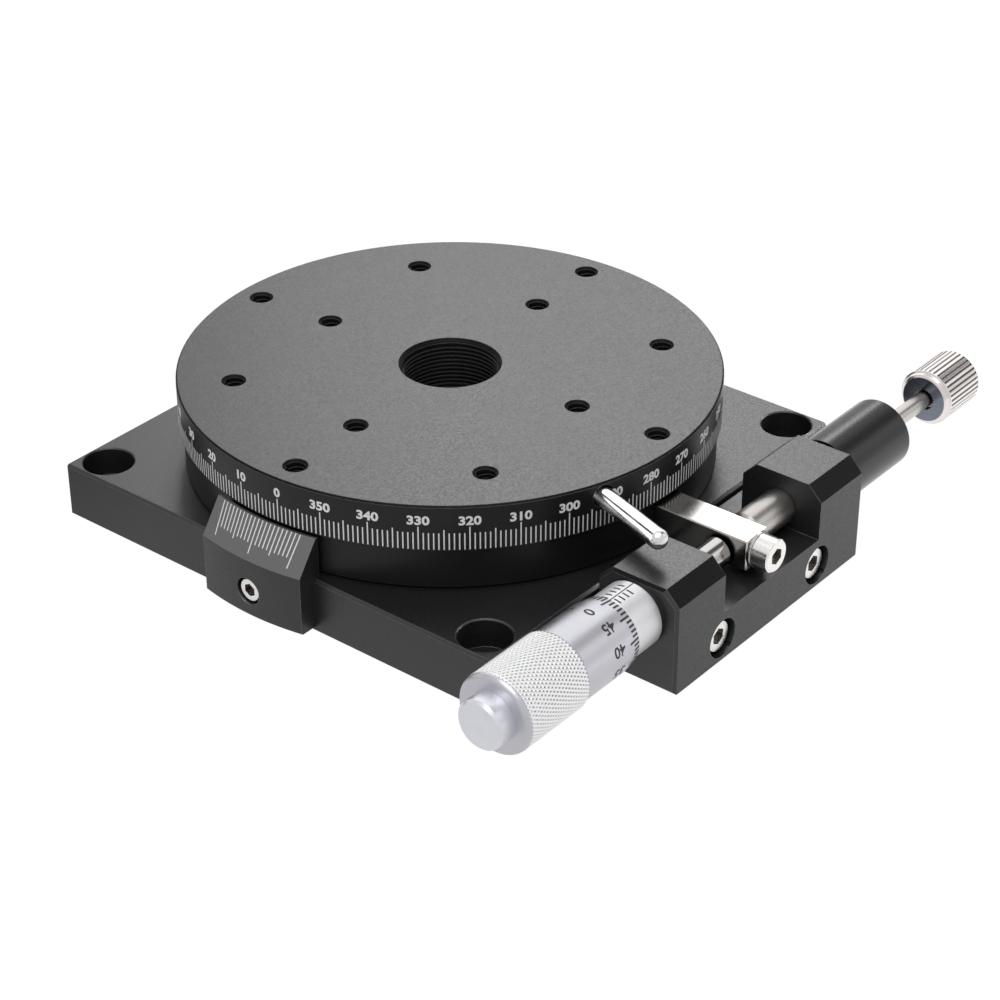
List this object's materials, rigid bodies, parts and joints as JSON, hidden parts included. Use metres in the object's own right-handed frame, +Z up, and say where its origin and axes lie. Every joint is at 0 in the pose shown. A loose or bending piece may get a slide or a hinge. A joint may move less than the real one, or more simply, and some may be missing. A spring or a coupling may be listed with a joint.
{
  "type": "manual rotation stage",
  "caption": "Round graduated table on a square base, turned by hand and finely by a micrometer that pushes an arm against a spring plunger, read on a vernier and locked by a side pin.",
  "frame": {"origin": "on the table's rotation axis at the base's underside, which is also the centre of the four base bolts", "axes": "+Z up along the rotation axis, the micrometer and spring plunger lie along X on the -Y side, the micrometer's thimble towards -X and the plunger's knob towards +X"},
  "size_m": [0.1283, 0.1101, 0.0245],
  "materials": {
    "black_anodised": "matt black anodised",
    "black_housing": "satin black anodised",
    "satin_silver": "satin chromed",
    "chrome": "polished",
    "polished_steel": "ground and polished",
    "bearing_steel": "ground",
    "dark_steel": "black oxide",
    "brass": "turned"
  },
  "bodies": {
    "base": {"base_plate": "black_anodised", "bottom_cover": "black_anodised", "cover_screws": "dark_steel", "outer_race": "bearing_steel", "race_screws": "dark_steel", "vernier_block": "black_anodised", "vernier_screw": "polished_steel", "bracket": "black_anodised", "bracket_screws": "polished_steel", "micrometer_sleeve": "satin_silver", "barrel_grub_screw": "dark_steel", "plunger_housing": "black_housing", "guide_bush": "brass", "return_spring": "dark_steel", "housing_grub_screw": "dark_steel"},
    "roller_set": {"bearing_rollers": "bearing_steel"},
    "fine_ring": {"drive_ring": "black_anodised", "inner_race": "bearing_steel", "clamp_ring": "dark_steel", "clamp_screws": "dark_steel", "drive_arm": "polished_steel", "arm_screws": "dark_steel", "arm_washer": "polished_steel", "arm_end_screw": "polished_steel", "upper_thrust_washer": "brass"},
    "turntable": {"table": "black_anodised", "hub": "black_anodised", "hub_screws": "dark_steel", "lower_thrust_washer": "brass", "retaining_nut": "dark_steel", "lock_pad": "brass"},
    "lock": {"lock_pin": "chrome"},
    "micrometer_slide": {"micrometer_spindle": "chrome"},
    "thimble_group": {"thimble": "satin_silver", "thimble_cap": "satin_silver"},
    "spring_plunger": {"plunger": "chrome", "plunger_rod": "chrome", "plunger_knob": "chrome"}
  },
  "joints": [
    {"name": "micrometer_feed", "type": "slide", "parent": "base", "child": "micrometer_slide", "axis": [1, 0, 0], "range_m": [-0.00505, 0.00505]},
    {"name": "thimble_spin", "type": "hinge", "parent": "micrometer_slide", "child": "thimble_group", "pos_m": [-0.043, -0.0566, 0.01285], "axis": [1, 0, 0], "range_deg": [-3630, 3630]},
    {"name": "fine_turn", "type": "hinge", "parent": "base", "child": "fine_ring", "pos_m": [0, 0, 0.01285], "axis": [0, 0, 1], "range_deg": [-5, 5]},
    {"name": "roller_creep", "type": "hinge", "parent": "base", "child": "roller_set", "pos_m": [0, 0, 0.00645], "axis": [0, 0, 1], "range_deg": [-2.53, 2.53]},
    {"name": "plunger_slide", "type": "slide", "parent": "base", "child": "spring_plunger", "axis": [1, 0, 0], "range_m": [-0.00505, 0.00505], "deforming": ["return_spring"]},
    {"name": "table_turn", "type": "hinge", "parent": "fine_ring", "child": "turntable", "pos_m": [0, 0, 0.02], "axis": [0, 0, 1], "continuous": true},
    {"name": "lock_turn", "type": "hinge", "parent": "turntable", "child": "lock", "pos_m": [-0.01435, -0.04228, 0.0221], "axis": [-0.3214, -0.9469, 0], "range_deg": [0, 270]}
  ],
  "couplings": [
    {"joint": "thimble_spin", "follows": "fine_turn", "ratio": 712.51},
    {"joint": "micrometer_feed", "follows": "fine_turn", "m_per_rad": 0.0567},
    {"joint": "plunger_slide", "follows": "fine_turn", "m_per_rad": 0.0567},
    {"joint": "roller_creep", "follows": "fine_turn", "ratio": 0.5}
  ]
}
